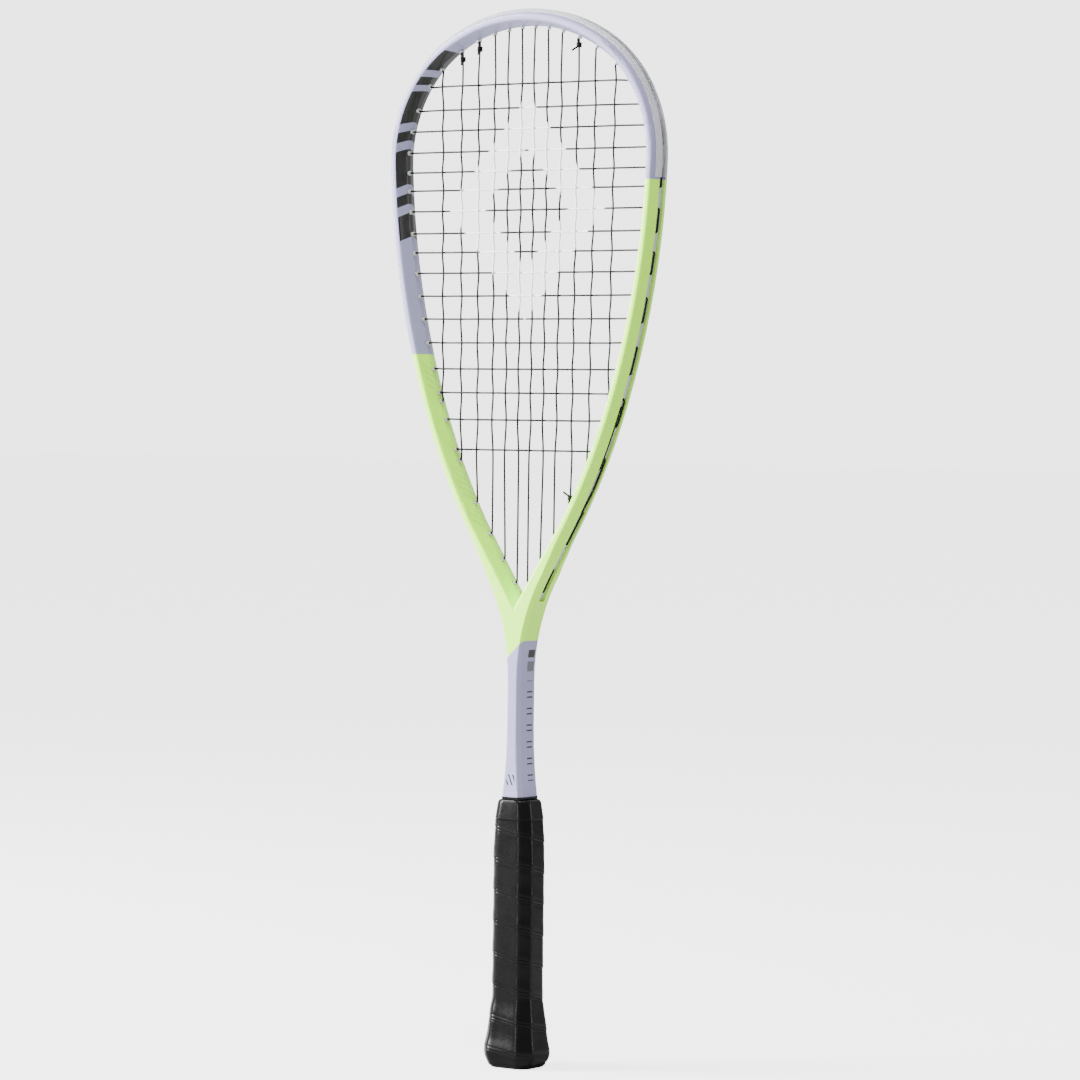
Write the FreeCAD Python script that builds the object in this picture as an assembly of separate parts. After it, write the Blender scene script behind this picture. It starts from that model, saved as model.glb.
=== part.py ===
import FreeCAD, Part
import math
import os

from FreeCAD import Vector

# A squash racket, in millimetres. Z runs up the shaft from the butt to the head, X lies in
# the string bed and Y is square to it. The origin is the centre of the butt's end face.

# ---- Driving dimensions -------------------------------------------------------------------

LENGTH = 685.0                # butt to the top of the head bumper

# Hoop: one moulded tube, bent through arcs given from the crown down one side
HOOP_WIDTH = 10.3             # across the tube, in the plane of the strings
HOOP_DEPTH = 20.0             # through the string bed
HOOP_RIDGE = 4.0              # narrow flat along its front and its back
HOOP_SIDE = 4.0               # flat along its inner and outer sides, where the holes are
HOOP_CORNER = 1.9             # rounding between the flats
HEAD_ARCS = ((114.0, 32.3), (85.5, 59.75), (551.0, 16.6), (442.0, 12.4))   # radius, degrees
WALL = 1.2                    # carbon laminate

# Throat: the two legs bend back until they run together as the shaft
THROAT_RADIUS = 133.0         # of the throat's outer edge
THROAT_APEX = 303.5           # lowest point of the head opening
THROAT_ANGLE = 32.6           # each edge of the web from the vertical
WEB_TOP = 362.0               # by here the web is inside the legs
BEVEL_X = 1.85                # bevel on the corners of legs and shaft
BEVEL_Y = 2.3
LEG_CORNER = 1.4

# Shaft
NECK_BOTTOM = 222.0           # the shaft's narrowest stretch ends here
SHAFT_FLARE_X = 405.0         # radius of the flare towards the grip, seen from the front
SHAFT_FLARE_Y = 1125.0        # and seen from the side
SHAFT_FLARE_END = 176.0
TANG_TOP = 164.0              # below this the shaft is a plain tang inside the handle
TANG = (6.5, 8.0)             # half width and half depth
TANG_BOTTOM = 12.0
BORE = (3.8, 6.6)             # hollow of shaft and tang, half width and half depth
BORE_TOP = 246.0
FOAM = (14.0, 122.0)          # foam core, bottom and top

# Groove, grommets and bumper round the outside of the hoop
GROOVE_WIDTH = 6.0
GROOVE_FLOOR = 2.45           # from the tube's centreline
STRIP_THICK = 0.9
GAP = 0.04                    # between a moulded strip and the frame
BARREL_RADIUS = 1.55
BARREL_BORE = 0.85
TIE_BARREL_RADIUS = 1.95      # the barrels that hold two strings at a knot
TIE_BARREL_BORE = 1.4
HOLE_CLEARANCE = 0.05
HOLE_REACH = 3.0              # of a drill past each wall
BARREL_PROUD = 1.8            # past the inner side of the hoop
BUMPER_PROUD = 0.65           # past the outer side of the hoop
BUMPER_WING = 6.4             # half the bumper's width
BUMPER_END = 165.0            # along the hoop from the crown, each way
STRIP_START = 165.6
STRIP_END = 412.5
THROAT_STRIP = (413.2, 452.6)
STRIP_PLAY = 0.3              # the groove runs on this far past the throat's strip

# Strings
STRING = 1.2                  # diameter
MAINS = (5.0, 15.2, 26.1, 38.5, 52.1, 67.1)    # each side of the middle, at FAN_HEIGHT
FAN_HEIGHT = 562.0
FAN = 0.0002                  # the mains spread by this much per millimetre towards the head
FIRST_CROSS = 637.0
CROSS_GAPS = (15.5, 13.5, 14.0, 13.0, 12.0, 13.5, 14.5, 12.5,
              13.5, 15.0, 15.0, 15.5, 17.0, 15.5, 17.5, 19.5)
WEAVE = STRING / 2 + 0.01     # each string's middle from the bed's plane where two cross
ARC_SHARE = 0.45              # of the shorter run, taken by the arc at its end
MOUTH_BEND = 1.5              # bend where a string enters its barrel
EXIT_BEND = STRING / 2 + 0.02
MOUTH_STAND_OFF = 0.7         # from the barrel's mouth to the bend
STRING_CLEAR = 0.12           # between the string and the floor it lies on
RUN_STEP = 6.0                # between the points of a run round the groove
LANE = 1.3                    # sideways step of a string that passes another in the groove
LANE_START = 1.6              # from the hole to where the step is complete
LANE_RETURN = 13.0            # before the last knot's hole, where the step ends
TIE_STEP = 0.72               # step off the barrel's axis of two strings that share it
CLEAR_OF_MOUTH = 1.0          # least room for a crossing beside a barrel's mouth
KNOT_START = 2.6              # from the mouth's bend to the first turn
KNOT_TURNS = 3
KNOT_RADIUS = STRING + 0.06
KNOT_PITCH = 1.05
KNOT_TAIL = 5.0

# Handle: half sizes across X and Y
BEVEL_HANDLE = 0.42           # bevel, as a share of the half size
PALLET = (13.3, 11.4)
PALLET_TOP = (12.1, 10.8)
PALLET_SPIGOT = (11.4, 9.5)   # inside the butt cap
PALLET_LEVELS = (5.0, 45.0, 142.0, 163.5)      # bottom, shoulder, start of the taper, top
PALLET_SPLIT = 0.1
GRIP_THICK = 2.0
GRIP_THIN = 0.7               # pared end of the grip, under the collar
GRIP_BOTTOM = 3.2
FLARE = ((2.6, 2.0), (5.5, 3.5), (8.0, 4.15), (10.0, 4.3), (12.0, 4.25), (14.0, 3.95),
         (18.0, 3.2), (24.0, 2.4), (31.0, 1.7), (38.0, 0.9), (45.0, 0.0))
#                               height and the handle's growth there, towards the butt
FOOT = ((0.0, 1.4), (0.5, 2.4), (1.4, 3.4), (2.6, 4.0))    # the cap's foot, likewise
FOOT_CORNER = 5.6
CAP_WALL_GAP = 0.05
BADGE = (10.5, 8.8)
BADGE_THICK = 1.2
STAPLE_CROWN = 9.0
STAPLE_LEG = 4.0
STAPLE_WIRE = 0.9
STAPLE_PLACE = (37.0, 1.02)   # height, and how far the crown is out of the pallet's face
GRIP_STAPLE_PLACE = (18.0, 3.21)
COLLAR_LEVELS = (161.0, 173.0, 174.0)          # lip over the grip, shoulder, top
COLLAR_SIZES = ((14.2, 12.85), (12.7, 11.9), (12.0, 11.5))
FINISHING = (163.7, 175.8)
FINISHING_THICK = 0.4

Y_AXIS = Vector(0, 1, 0)
Z_AXIS = Vector(0, 0, 1)
ORIGIN = Vector(0, 0, 0)
CROWN = LENGTH - HOOP_WIDTH / 2 - BUMPER_PROUD
HALF = HOOP_WIDTH / 2


# ---- The hoop's centreline, from the crown down the +X side -------------------------------

def outward(heading):
    """Unit vector out of the head, for a heading measured clockwise from +X."""
    turn = math.radians(heading)
    return Vector(math.sin(turn), 0, math.cos(turn))


def step_along(stretch, distance):
    """Point and heading this far along one stretch: (x, z, heading, radius, length)."""
    x, z, heading, radius, _ = stretch
    turn = math.radians(heading)
    start = Vector(x, 0, z)
    if radius is None:
        return start + Vector(math.cos(turn), 0, -math.sin(turn)) * distance, heading
    centre = start - outward(heading) * radius
    heading += math.degrees(distance / radius)
    return centre + outward(heading) * radius, heading


def make_centreline():
    """The hoop's arcs, a straight run, and the arc that brings each leg onto the middle."""
    stretches = []
    x, z, heading = 0.0, CROWN, 0.0
    for radius, turn in HEAD_ARCS:
        stretches.append((x, z, heading, radius, radius * math.radians(turn)))
        end, heading = step_along(stretches[-1], stretches[-1][4])
        x, z = end.x, end.z
    lean = math.radians(heading - 90)
    radius = THROAT_RADIUS + HALF
    straight = (x - radius * (1 - math.cos(lean))) / math.sin(lean)
    stretches.append((x, z, heading, None, straight))
    end, _ = step_along(stretches[-1], straight)
    stretches.append((end.x, end.z, heading, -radius, radius * lean))
    return stretches


CENTRELINE = make_centreline()
HEAD_LENGTH = sum(stretch[4] for stretch in CENTRELINE[:4])
LEG_LENGTH = HEAD_LENGTH + CENTRELINE[4][4]
FULL_LENGTH = LEG_LENGTH + CENTRELINE[5][4]
NECK_TOP = step_along(CENTRELINE[5], CENTRELINE[5][4])[0].z


def station(distance):
    """Point on the centreline and heading, this far along it from the crown."""
    for stretch in CENTRELINE:
        if distance <= stretch[4] or stretch is CENTRELINE[-1]:
            return step_along(stretch, distance)
        distance -= stretch[4]


def offset_point(distance, out, y=0.0):
    """Point this far along the centreline and this far out of it."""
    point, heading = station(distance)
    return point + outward(heading) * out + Vector(0, y, 0)


def solve(function, low, high):
    """The place between low and high where the function changes sign."""
    start = function(low)
    for _ in range(50):
        middle = (low + high) / 2
        if (function(middle) > 0) == (start > 0):
            low = middle
        else:
            high = middle
    return (low + high) / 2


# ---- Shapes -------------------------------------------------------------------------------

def rounded(corners, radius):
    """Closed wire through the corners, each rounded by an arc."""
    edges = []
    count = len(corners)
    ends = []
    for i in range(count):
        before = (corners[i - 1] - corners[i]).normalize()
        after = (corners[(i + 1) % count] - corners[i]).normalize()
        half = before.getAngle(after) / 2
        cut = radius / math.tan(half)
        middle = (before + after).normalize()
        inner = corners[i] + middle * (radius / math.sin(half) - radius)
        ends.append((corners[i] + before * cut, inner, corners[i] + after * cut))
    for i in range(count):
        start, middle, end = ends[i]
        edges.append(Part.Arc(start, middle, end).toShape())
        edges.append(Part.LineSegment(end, ends[(i + 1) % count][0]).toShape())
    return Part.Wire(edges)


def polygon(corners):
    """Closed wire through the corners."""
    return Part.makePolygon(list(corners) + [corners[0]])


def tube_corners(width, depth, ridge, side):
    """Eight corners of the frame's section, as (out, y)."""
    x, y, r, s = width / 2, depth / 2, ridge / 2, side / 2
    return ((x, -s), (x, s), (r, y), (-r, y), (-x, s), (-x, -s), (-r, -y), (r, -y))


def place(corners, distance):
    """Corners given as (out, y), set square to the centreline."""
    return [offset_point(distance, out, y) for out, y in corners]


def sew(faces):
    """One solid from faces that meet edge to edge."""
    shape = Part.Shape(Part.Compound(faces))
    shape.sewShape()
    solid = Part.Solid(shape.Shells[0])
    if solid.Volume < 0:
        solid.reverse()
    return solid


def sweep(corners, start, end, radius=0.0):
    """A section carried along the centreline from one distance to another."""
    def outline(distance):
        points = place(corners, distance)
        return rounded(points, radius) if radius else polygon(points)

    faces = [Part.Face(outline(start))]
    passed = 0.0
    for stretch in CENTRELINE:
        low, high = max(start, passed), min(end, passed + stretch[4])
        passed += stretch[4]
        if high - low < 1e-6:
            continue
        wire = outline(low)
        point, heading = station(low)
        if stretch[3] is None:
            side = wire.extrude(station(high)[0] - point)
        else:
            centre = point - outward(heading) * stretch[3]
            side = wire.revolve(centre, Y_AXIS, math.degrees((high - low) / stretch[3]))
        faces += side.Faces
    faces.append(Part.Face(outline(end)))
    return sew(faces)


def mirrored(shape):
    """The same shape on the -X side."""
    return shape.mirror(ORIGIN, Vector(1, 0, 0))


def both_sides(shape):
    """A shape that starts at the crown, with its mirror image."""
    return shape.fuse(mirrored(shape)).removeSplitter()


def across(distance, radius, start, end):
    """Cylinder square to the hoop, through the centreline at this distance."""
    base = offset_point(distance, start)
    _, heading = station(distance)
    return Part.makeCylinder(radius, end - start, base, outward(heading))


def octagon(half_x, half_y, z, bevel=None):
    """Corners of the handle's section at one height."""
    cut = bevel or BEVEL_HANDLE * half_y
    x, y = half_x - cut, half_y - cut
    return [Vector(a, b, z) for a, b in ((half_x, -y), (half_x, y), (x, half_y), (-x, half_y),
                                         (-half_x, y), (-half_x, -y), (-x, -half_y),
                                         (x, -half_y))]


def stack(sections):
    """Solid with flat sides between octagons given as (half_x, half_y, z)."""
    wires = [polygon(octagon(*section)) for section in sections]
    return Part.makeLoft(wires, True, True)


def block(half_x, half_y, low, high):
    """Upright rectangular block, centred on the Z axis."""
    corner = Vector(-half_x, -half_y, low)
    return Part.makeBox(2 * half_x, 2 * half_y, high - low, corner)


# ---- String pattern -----------------------------------------------------------------------

STRIP_TOP = GROOVE_FLOOR + GAP + STRIP_THICK
STRING_OUT = STRIP_TOP + STRING / 2 + STRING_CLEAR
WIDEST = sum(stretch[4] for stretch in CENTRELINE[:2])
CROSSES = [FIRST_CROSS - sum(CROSS_GAPS[:i]) for i in range(len(CROSS_GAPS) + 1)]
LAST_CROSS = len(CROSSES) - 1


def inner_wall(distance):
    """How far inside the centreline the hoop's or the web's inner wall is."""
    if distance < WIDEST:
        return HALF
    point, heading = station(distance)
    normal = outward(heading)
    slope = math.tan(math.radians(THROAT_ANGLE))
    web = (point.x - (point.z - THROAT_APEX) * slope) / (normal.x - normal.z * slope)
    return max(HALF, web)


def mouth_point(distance, clear=0.0, y=0.0):
    """Where the string leaves a barrel inside the hoop, or this far clear of it."""
    return offset_point(distance, -inner_wall(distance) - BARREL_PROUD - clear, y)


def main_x(offset, z):
    """Distance of a main from the middle at this height."""
    return offset * (1 + FAN * (z - FAN_HEIGHT))


def off_main(offset):
    """Function that is zero where a barrel's mouth meets this main."""
    def miss(distance):
        mouth = mouth_point(distance)
        return mouth.x - main_x(offset, mouth.z)
    return miss


def off_cross(height):
    """Function that is zero where a barrel's mouth is at this height."""
    return lambda distance: mouth_point(distance).z - height


MAIN_TOPS = [solve(off_main(offset), 0, WIDEST) for offset in MAINS]
MAIN_ENDS = [solve(off_main(offset), WIDEST, FULL_LENGTH) for offset in MAINS]
CROSS_ENDS = [solve(off_cross(height), 0, FULL_LENGTH) for height in CROSSES]

# Knots: (side of the racket, main, at the top, step of that main in the shared barrel:
# along the hoop and across it). The tied end takes the opposite step.
LEFT_MAIN_KNOT = (-1, 3, True, (0.0, TIE_STEP))
RIGHT_MAIN_KNOT = (1, 3, True, (0.0, TIE_STEP))
FIRST_CROSS_KNOT = (-1, 4, True, (-TIE_STEP, 0.0))
LAST_CROSS_KNOT = (1, 3, False, (0.0, TIE_STEP))
KNOTS = (LEFT_MAIN_KNOT, RIGHT_MAIN_KNOT, FIRST_CROSS_KNOT, LAST_CROSS_KNOT)


def knot_distance(knot):
    """Where on the hoop a knot's barrel is."""
    _, main, top, _ = knot
    return (MAIN_TOPS if top else MAIN_ENDS)[main]


def barrel_step(side, distance):
    """Step off the barrel's axis of the string that belongs to a hole."""
    for knot in KNOTS:
        if knot[0] == side and abs(knot_distance(knot) - distance) < 1e-6:
            return knot[3]
    return (0.0, 0.0)


def is_tie(side, distance):
    """Whether two strings share the hole at this place."""
    return barrel_step(side, distance) != (0.0, 0.0)


def holes_between(start, end):
    """Distances of all string holes on one side, between two places on the hoop."""
    return sorted(d for d in MAIN_TOPS + MAIN_ENDS + CROSS_ENDS if start <= d < end)


def tube(route):
    """Round solid along runs joined by tangent arcs. The route is (point, bend radius) pairs,
    and where no radius is given the arc is as large as its runs allow."""
    points = [point for point, _ in route]
    heading = (points[1] - points[0]).normalize()
    circle = Part.Edge(Part.Circle(points[0], heading, STRING / 2))
    faces = [Part.Face(Part.Wire([circle]))]
    here = points[0]
    for i in range(1, len(points) - 1):
        before, after = points[i] - points[i - 1], points[i + 1] - points[i]
        turn = before.getAngle(after)
        if turn < 1e-4:
            continue
        cut = ARC_SHARE * min(before.Length, after.Length)
        radius = cut / math.tan(turn / 2)
        if route[i][1] and route[i][1] < radius:
            radius = route[i][1]
            cut = radius * math.tan(turn / 2)
        before.normalize()
        after.normalize()
        start = points[i] - before * cut
        axis = before.cross(after).normalize()
        centre = start + axis.cross(before) * radius
        faces.append(circle.extrude(start - here))
        circle.translate(start - here)
        faces.append(circle.revolve(centre, axis, math.degrees(turn)))
        circle.rotate(centre, axis, math.degrees(turn))
        here = points[i] + after * cut
    faces.append(circle.extrude(points[-1] - here))
    circle.translate(points[-1] - here)
    faces.append(Part.Face(Part.Wire([circle])))
    return sew(faces)


def flip(point, side):
    """A point of the +X side, on the side asked for."""
    return Vector(point.x * side, point.y, point.z)


def hole_run(side, distance, step=None):
    """Route from a barrel's mouth to the groove, as (point, bend)."""
    along, sideways = step or barrel_step(side, distance)
    distance += along
    mouth = flip(mouth_point(distance, MOUTH_STAND_OFF, sideways), side)
    out = flip(offset_point(distance, STRING_OUT, sideways), side)
    return [(mouth, MOUTH_BEND), (out, EXIT_BEND)]


def groove_run(side, start, end, lane):
    """Points along the groove between two holes, stepped sideways by the lane."""
    if lane:
        reach = math.copysign(LANE_START, end - start)
        start, end = start + reach, end - reach
    count = max(1, round(abs(end - start) / RUN_STEP))
    places = range(count + 1) if lane else range(1, count)
    points = []
    for i in places:
        distance = start + (end - start) * i / count
        points.append((flip(offset_point(distance, STRING_OUT, lane * LANE), side), None))
    return points


def crown_run(start, end):
    """Points along the groove over the crown, from the -X side to the +X side."""
    return groove_run(-1, start, 0.0, 0) + [(offset_point(0.0, STRING_OUT), None)] \
        + groove_run(1, 0.0, end, 0)


def crossings_of_main(side, index):
    """Heights where a main meets a cross, each with the side of the bed it passes on."""
    found = []
    room = CLEAR_OF_MOUTH
    for j, height in enumerate(CROSSES):
        reach = mouth_point(CROSS_ENDS[j]).x
        top = mouth_point(MAIN_TOPS[index]).z
        low = mouth_point(MAIN_ENDS[index]).z
        if main_x(MAINS[index], height) < reach - room and low + room < height < top - room:
            found.append((height, over(side, index, j)))
    return found


def over(side, index, cross):
    """-1 where the main passes in front of the cross, 1 where it passes behind."""
    number = index if side > 0 else -1 - index
    return -1 if (number + cross) % 2 == 0 else 1


def main_bed(side, index, downwards):
    """The woven stretch of one main, from one mouth towards the other."""
    points = []
    for height, sign in crossings_of_main(side, index):
        x = side * main_x(MAINS[index], height)
        points.append((Vector(x, sign * WEAVE / (1 - ARC_SHARE), height), None))
    return points if downwards else points[::-1]


def cross_bed(cross, rightwards):
    """The woven stretch of one cross."""
    points = []
    for side in (-1, 1):
        for index in range(len(MAINS)):
            for height, sign in crossings_of_main(side, index):
                if abs(height - CROSSES[cross]) < 1e-6:
                    x = side * main_x(MAINS[index], height)
                    points.append((x, -sign * WEAVE / (1 - ARC_SHARE)))
    points.sort(reverse=not rightwards)
    return [(Vector(x, y, CROSSES[cross]), None) for x, y in points]


def knot_place(knot):
    """First turn of a knot: a point on the held main, and the main's direction there."""
    side, main, top, (along, sideways) = knot
    distance = knot_distance(knot) + along
    start = flip(mouth_point(distance, MOUTH_STAND_OFF, sideways), side)
    direction = (main_bed(side, main, top)[0][0] - start).normalize()
    return start + direction * KNOT_START, direction


def knot_turns(knot):
    """Turns of string round the held main, with the cut tail."""
    first, direction = knot_place(knot)
    turns = [Part.makeTorus(KNOT_RADIUS, STRING / 2, first + direction * (i * KNOT_PITCH),
                            direction) for i in range(KNOT_TURNS)]
    last = first + direction * ((KNOT_TURNS - 1) * KNOT_PITCH)
    lead = Vector(-0.5 * knot[0], -0.8, 0) + direction * 0.6
    tail = Part.makeCylinder(STRING / 2, KNOT_TAIL, last + Vector(0, -KNOT_RADIUS, 0),
                             lead.normalize())
    return turns + [tail]


def tie_end(knot):
    """Route of a string's last stretch: out of the groove, through the barrel, to the knot."""
    side, _, _, (along, sideways) = knot
    route = hole_run(side, knot_distance(knot), (-along, -sideways))[::-1]
    first, direction = knot_place(knot)
    beside = route[-1][0] - first
    beside -= direction * beside.dot(direction)
    return route + [(first + beside.normalize() * KNOT_RADIUS, None)]


def half_of_mains(side, knot):
    """Route of the mains on one side, from the crown outwards to the knot."""
    route = []
    for index in range(len(MAINS)):
        downwards = index % 2 == 0
        top = hole_run(side, MAIN_TOPS[index])
        low = hole_run(side, MAIN_ENDS[index])
        bed = main_bed(side, index, downwards)
        route += top[::-1] + bed + low if downwards else low[::-1] + bed + top
        if index < len(MAINS) - 1:
            ends = MAIN_ENDS if downwards else MAIN_TOPS
            lane = -1 if downwards and index == len(MAINS) - 2 else 0
            route += groove_run(side, ends[index], ends[index + 1], lane)
    return route + groove_run(side, MAIN_TOPS[-1], knot_distance(knot), -1) + tie_end(knot)


def main_string():
    """The mains: one length of string, tied off near the head on both sides."""
    left = half_of_mains(-1, LEFT_MAIN_KNOT)
    right = half_of_mains(1, RIGHT_MAIN_KNOT)
    over_crown = crown_run(MAIN_TOPS[0], MAIN_TOPS[0])
    knots = knot_turns(LEFT_MAIN_KNOT) + knot_turns(RIGHT_MAIN_KNOT)
    return tube(left[::-1] + over_crown + right).fuse(knots)


def cross_string():
    """The crosses: one length, tied off near the head and beside the throat."""
    first, last = FIRST_CROSS_KNOT, LAST_CROSS_KNOT
    route = tie_end(first)[::-1]
    route += groove_run(-1, knot_distance(first) + TIE_STEP, CROSS_ENDS[0], 1)
    for j in range(len(CROSSES)):
        side = -1 if j % 2 == 0 else 1
        route += hole_run(side, CROSS_ENDS[j])[::-1] + cross_bed(j, side < 0)
        route += hole_run(-side, CROSS_ENDS[j])
        if j < LAST_CROSS:
            lane = 1 if j >= LAST_CROSS - 2 else 0
            route += groove_run(-side, CROSS_ENDS[j], CROSS_ENDS[j + 1], lane)
    route += groove_run(1, CROSS_ENDS[-1], knot_distance(last) - LANE_RETURN, 1)
    return tube(route + tie_end(last)).fuse(knot_turns(first) + knot_turns(last))


# ---- Frame --------------------------------------------------------------------------------

def leg_corners(width, depth):
    """Section of a leg or of the shaft: a rectangle with bevelled corners."""
    return tube_corners(width, depth, width - 2 * BEVEL_X, depth - 2 * BEVEL_Y)


def shaft_wire(half_x, half_y, z):
    """The shaft's outline at one height."""
    corners = leg_corners(2 * half_x, 2 * half_y)
    return rounded([Vector(x, y, z) for x, y in corners], LEG_CORNER)


def flare_size(z):
    """Half sizes of the shaft where it grows towards the handle."""
    drop = NECK_BOTTOM - z
    half_x = HALF + SHAFT_FLARE_X - math.sqrt(SHAFT_FLARE_X ** 2 - drop ** 2)
    half_y = HOOP_DEPTH / 2 + SHAFT_FLARE_Y - math.sqrt(SHAFT_FLARE_Y ** 2 - drop ** 2)
    return half_x, half_y


def shoulder(growth, low, high):
    """The stretch of the frame between shaft and tang, grown by this much each side."""
    wires = []
    for z in (low, high):
        share = (z - TANG_TOP) / (SHAFT_FLARE_END - TANG_TOP)
        wide = flare_size(SHAFT_FLARE_END)
        sizes = [tang + (full - tang) * share + growth for tang, full in zip(TANG, wide)]
        wires.append(shaft_wire(*sizes, z))
    return Part.makeLoft(wires, True, True)


def shaft_flare():
    """Outlines of the shaft as it grows towards the handle."""
    wires = []
    steps = 4
    for i in range(steps + 1):
        z = NECK_BOTTOM + (SHAFT_FLARE_END - NECK_BOTTOM) * i / steps
        wires.append(shaft_wire(*flare_size(z), z))
    return wires


def throat_web():
    """Fills the foot of the head opening. The hoop's inner facets run down along its edges."""
    angle = math.radians(THROAT_ANGLE)
    upward = Vector(math.sin(angle), 0, math.cos(angle))
    out = Vector(math.cos(angle), 0, -math.sin(angle))
    reach = (WEB_TOP - THROAT_APEX) * math.tan(angle)
    depth = HOOP_DEPTH / 2
    top = solve(lambda distance: station(distance)[0].z - WEB_TOP, WIDEST, FULL_LENGTH)
    edge = [Vector(0, 0, THROAT_APEX), Vector(reach, 0, WEB_TOP)]
    steps = 12
    edge += [station(top + (FULL_LENGTH - top) * i / steps)[0] for i in range(steps + 1)]
    plate = Part.Face(polygon([point - Y_AXIS * depth for point in edge]))
    plate = plate.extrude(Y_AXIS * (2 * depth))
    low = Vector(0, 0, THROAT_APEX) - upward * (THROAT_APEX - NECK_TOP)
    wide = THROAT_APEX
    section = [low + out * (n + HALF + (wide if n > 0 else 0)) + Y_AXIS * y for n, y in
               tube_corners(HOOP_WIDTH, HOOP_DEPTH, HOOP_RIDGE, HOOP_SIDE)]
    bar = Part.Face(rounded(section, HOOP_CORNER)).extrude(upward * THROAT_APEX)
    return both_sides(plate.common(bar))


def frame_outside():
    """Hoop, legs, web, shaft and tang as one solid."""
    hoop_corners = tube_corners(HOOP_WIDTH, HOOP_DEPTH, HOOP_RIDGE, HOOP_SIDE)
    leg = leg_corners(HOOP_WIDTH, HOOP_DEPTH)
    leg = leg[:3] + hoop_corners[3:7] + leg[7:]
    hoop = sweep(hoop_corners, 0.0, HEAD_LENGTH, HOOP_CORNER)
    change = Part.makeLoft([rounded(place(hoop_corners, HEAD_LENGTH), HOOP_CORNER),
                            rounded(place(leg, LEG_LENGTH), LEG_CORNER)], True, True)
    bend = sweep(leg, LEG_LENGTH, FULL_LENGTH, LEG_CORNER)
    half = hoop.fuse([change, bend])
    neck = Part.Face(shaft_wire(HALF, HOOP_DEPTH / 2, NECK_TOP))
    neck = neck.extrude(Vector(0, 0, NECK_BOTTOM - NECK_TOP))
    flare = Part.makeLoft(shaft_flare(), True, False)
    step = shoulder(0.0, TANG_TOP, SHAFT_FLARE_END)
    tang = Part.Face(shaft_wire(*TANG, TANG_TOP))
    tang = tang.extrude(Vector(0, 0, TANG_BOTTOM - TANG_TOP))
    return half.fuse([mirrored(half), throat_web(), neck, flare, step, tang])


def frame():
    """The whole carbon moulding: hollow, grooved outside, and drilled for the strings."""
    solid = frame_outside().removeSplitter()
    out = GROOVE_FLOOR - WALL
    hollow = tube_corners(HALF - WALL + out, HOOP_DEPTH - 2 * WALL - 1.0,
                          HOOP_RIDGE - 2 * WALL, HOOP_SIDE)
    shift = (out - (HALF - WALL)) / 2
    hollow = [(n + shift, y) for n, y in hollow]
    cavity = sweep(hollow, 0.0, LEG_LENGTH)
    groove = sweep(((GROOVE_FLOOR, -GROOVE_WIDTH / 2), (GROOVE_FLOOR, GROOVE_WIDTH / 2),
                    (HALF + 2, GROOVE_WIDTH / 2), (HALF + 2, -GROOVE_WIDTH / 2)),
                   0.0, THROAT_STRIP[1] + STRIP_PLAY)
    cuts = [cavity, mirrored(cavity), groove, mirrored(groove),
            block(*BORE, TANG_BOTTOM - 1, BORE_TOP)]
    for side in (-1, 1):
        for distance in holes_between(0.0, FULL_LENGTH):
            radius = TIE_BARREL_RADIUS if is_tie(side, distance) else BARREL_RADIUS
            inside = -inner_wall(distance) - HOLE_REACH
            hole = across(distance, radius + HOLE_CLEARANCE, inside, HALF + HOLE_REACH)
            cuts.append(hole if side > 0 else mirrored(hole))
    return solid.cut(cuts)


# ---- Grommets and bumper ------------------------------------------------------------------

def barrels(side, start, end):
    """Barrels and their bores for one stretch of strip, on the +X side."""
    walls, bores = [], []
    for distance in holes_between(start, end):
        tie = is_tie(side, distance)
        radius = TIE_BARREL_RADIUS if tie else BARREL_RADIUS
        bore = TIE_BARREL_BORE if tie else BARREL_BORE
        mouth = -inner_wall(distance) - BARREL_PROUD
        walls.append(across(distance, radius, mouth, STRIP_TOP - STRIP_THICK / 2))
        bores.append(across(distance, bore, mouth - 1, STRIP_TOP + 1))
    return walls, bores


def strip(side, start, end):
    """Flat strip in the groove with its barrels, on the side asked for."""
    half = GROOVE_WIDTH / 2 - GAP
    low = GROOVE_FLOOR + GAP
    base = sweep(((low, -half), (low, half), (STRIP_TOP, half), (STRIP_TOP, -half)),
                 start, end)
    walls, bores = barrels(side, start, end)
    solid = base.fuse(walls).cut(bores)
    return solid if side > 0 else mirrored(solid)


def facet(y):
    """How far out the hoop's sloping outer facet is, at this depth."""
    rise = HALF - HOOP_RIDGE / 2
    run = HOOP_DEPTH / 2 - HOOP_SIDE / 2
    return HALF - max(0.0, abs(y) - HOOP_SIDE / 2) * rise / run


def bumper():
    """Channel for the strings in the groove, with a wing over each outer facet."""
    wall = GROOVE_WIDTH / 2 - GAP
    inner = wall - 0.75
    proud = HALF + BUMPER_PROUD
    quarter = [(GROOVE_FLOOR + GAP, wall), (facet(wall) + GAP, wall),
               (facet(BUMPER_WING) + GAP, BUMPER_WING),
               (facet(BUMPER_WING) + 0.6, BUMPER_WING), (proud, wall + 0.4),
               (proud, inner), (STRIP_TOP, inner)]
    corners = quarter + [(n, -y) for n, y in quarter[::-1]]
    rail = both_sides(sweep(corners, 0.0, BUMPER_END))
    walls, bores = [], []
    for side in (-1, 1):
        more_walls, more_bores = barrels(side, 0.0, BUMPER_END)
        turn = (lambda shape: shape) if side > 0 else mirrored
        walls += [turn(shape) for shape in more_walls]
        bores += [turn(shape) for shape in more_bores]
    return rail.fuse(walls).cut(bores)


# ---- Handle -------------------------------------------------------------------------------

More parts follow.
